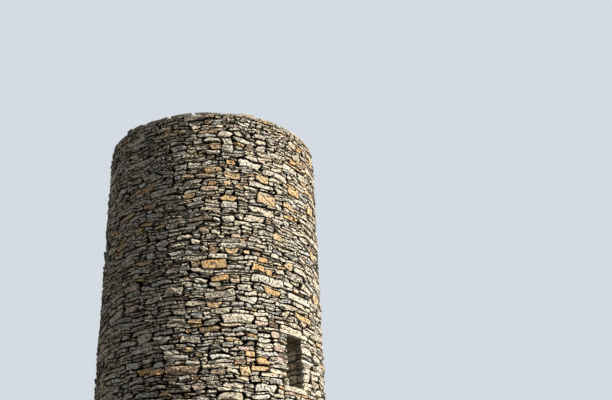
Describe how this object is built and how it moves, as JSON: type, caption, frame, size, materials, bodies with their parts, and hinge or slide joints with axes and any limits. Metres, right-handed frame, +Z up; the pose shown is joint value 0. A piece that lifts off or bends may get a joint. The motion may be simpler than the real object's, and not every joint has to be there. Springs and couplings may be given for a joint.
{
  "type": "castle keep",
  "caption": "Round rubble-stone keep with battered walls, narrow upper windows, a ground doorway and a paved terrace behind a plain parapet.",
  "frame": {"origin": "centre of the foot, on the ground", "axes": "+Z up, -Y out of the doorway, +X out of the right window"},
  "size_m": [4.6728, 4.6726, 12.4],
  "materials": {
    "rubble": "rough split schist in dark recessed joints",
    "slabs": "roughly dressed flat slabs",
    "oak": "weathered oak"
  },
  "bodies": {
    "root": {"ground_wall_front_left": "rubble", "ground_wall_front_right": "rubble", "ground_wall_over_door": "rubble", "ground_wall_right": "rubble", "ground_wall_back": "rubble", "ground_wall_left": "rubble", "door_threshold": "slabs", "door_lintel_outer": "slabs", "door_lintel_middle": "slabs", "door_lintel_inner": "slabs", "ground_floor_flags": "slabs", "upper_wall_front": "rubble", "upper_wall_back": "rubble", "upper_wall_right_front": "rubble", "upper_wall_right_back": "rubble", "wall_under_right_window": "rubble", "wall_over_right_window": "rubble", "right_window_sill": "slabs", "right_window_lintel_outer": "slabs", "right_window_lintel_inner": "slabs", "upper_wall_left_front": "rubble", "upper_wall_left_back": "rubble", "wall_under_left_window": "rubble", "wall_over_left_window": "rubble", "left_window_sill": "slabs", "left_window_lintel_outer": "slabs", "left_window_lintel_inner": "slabs", "upper_floor_beams": "oak", "upper_floor_trimmers": "oak", "upper_floor_boards": "oak", "terrace_beams": "oak", "terrace_trimmers": "oak", "terrace_planks": "oak", "terrace_paving": "slabs", "terrace_hatch_curb": "oak", "parapet_front": "rubble", "parapet_right": "rubble", "parapet_back": "rubble", "parapet_left": "rubble", "coping_front": "slabs", "coping_right": "slabs", "coping_back": "slabs", "coping_left": "slabs"}
  },
  "joints": []
}
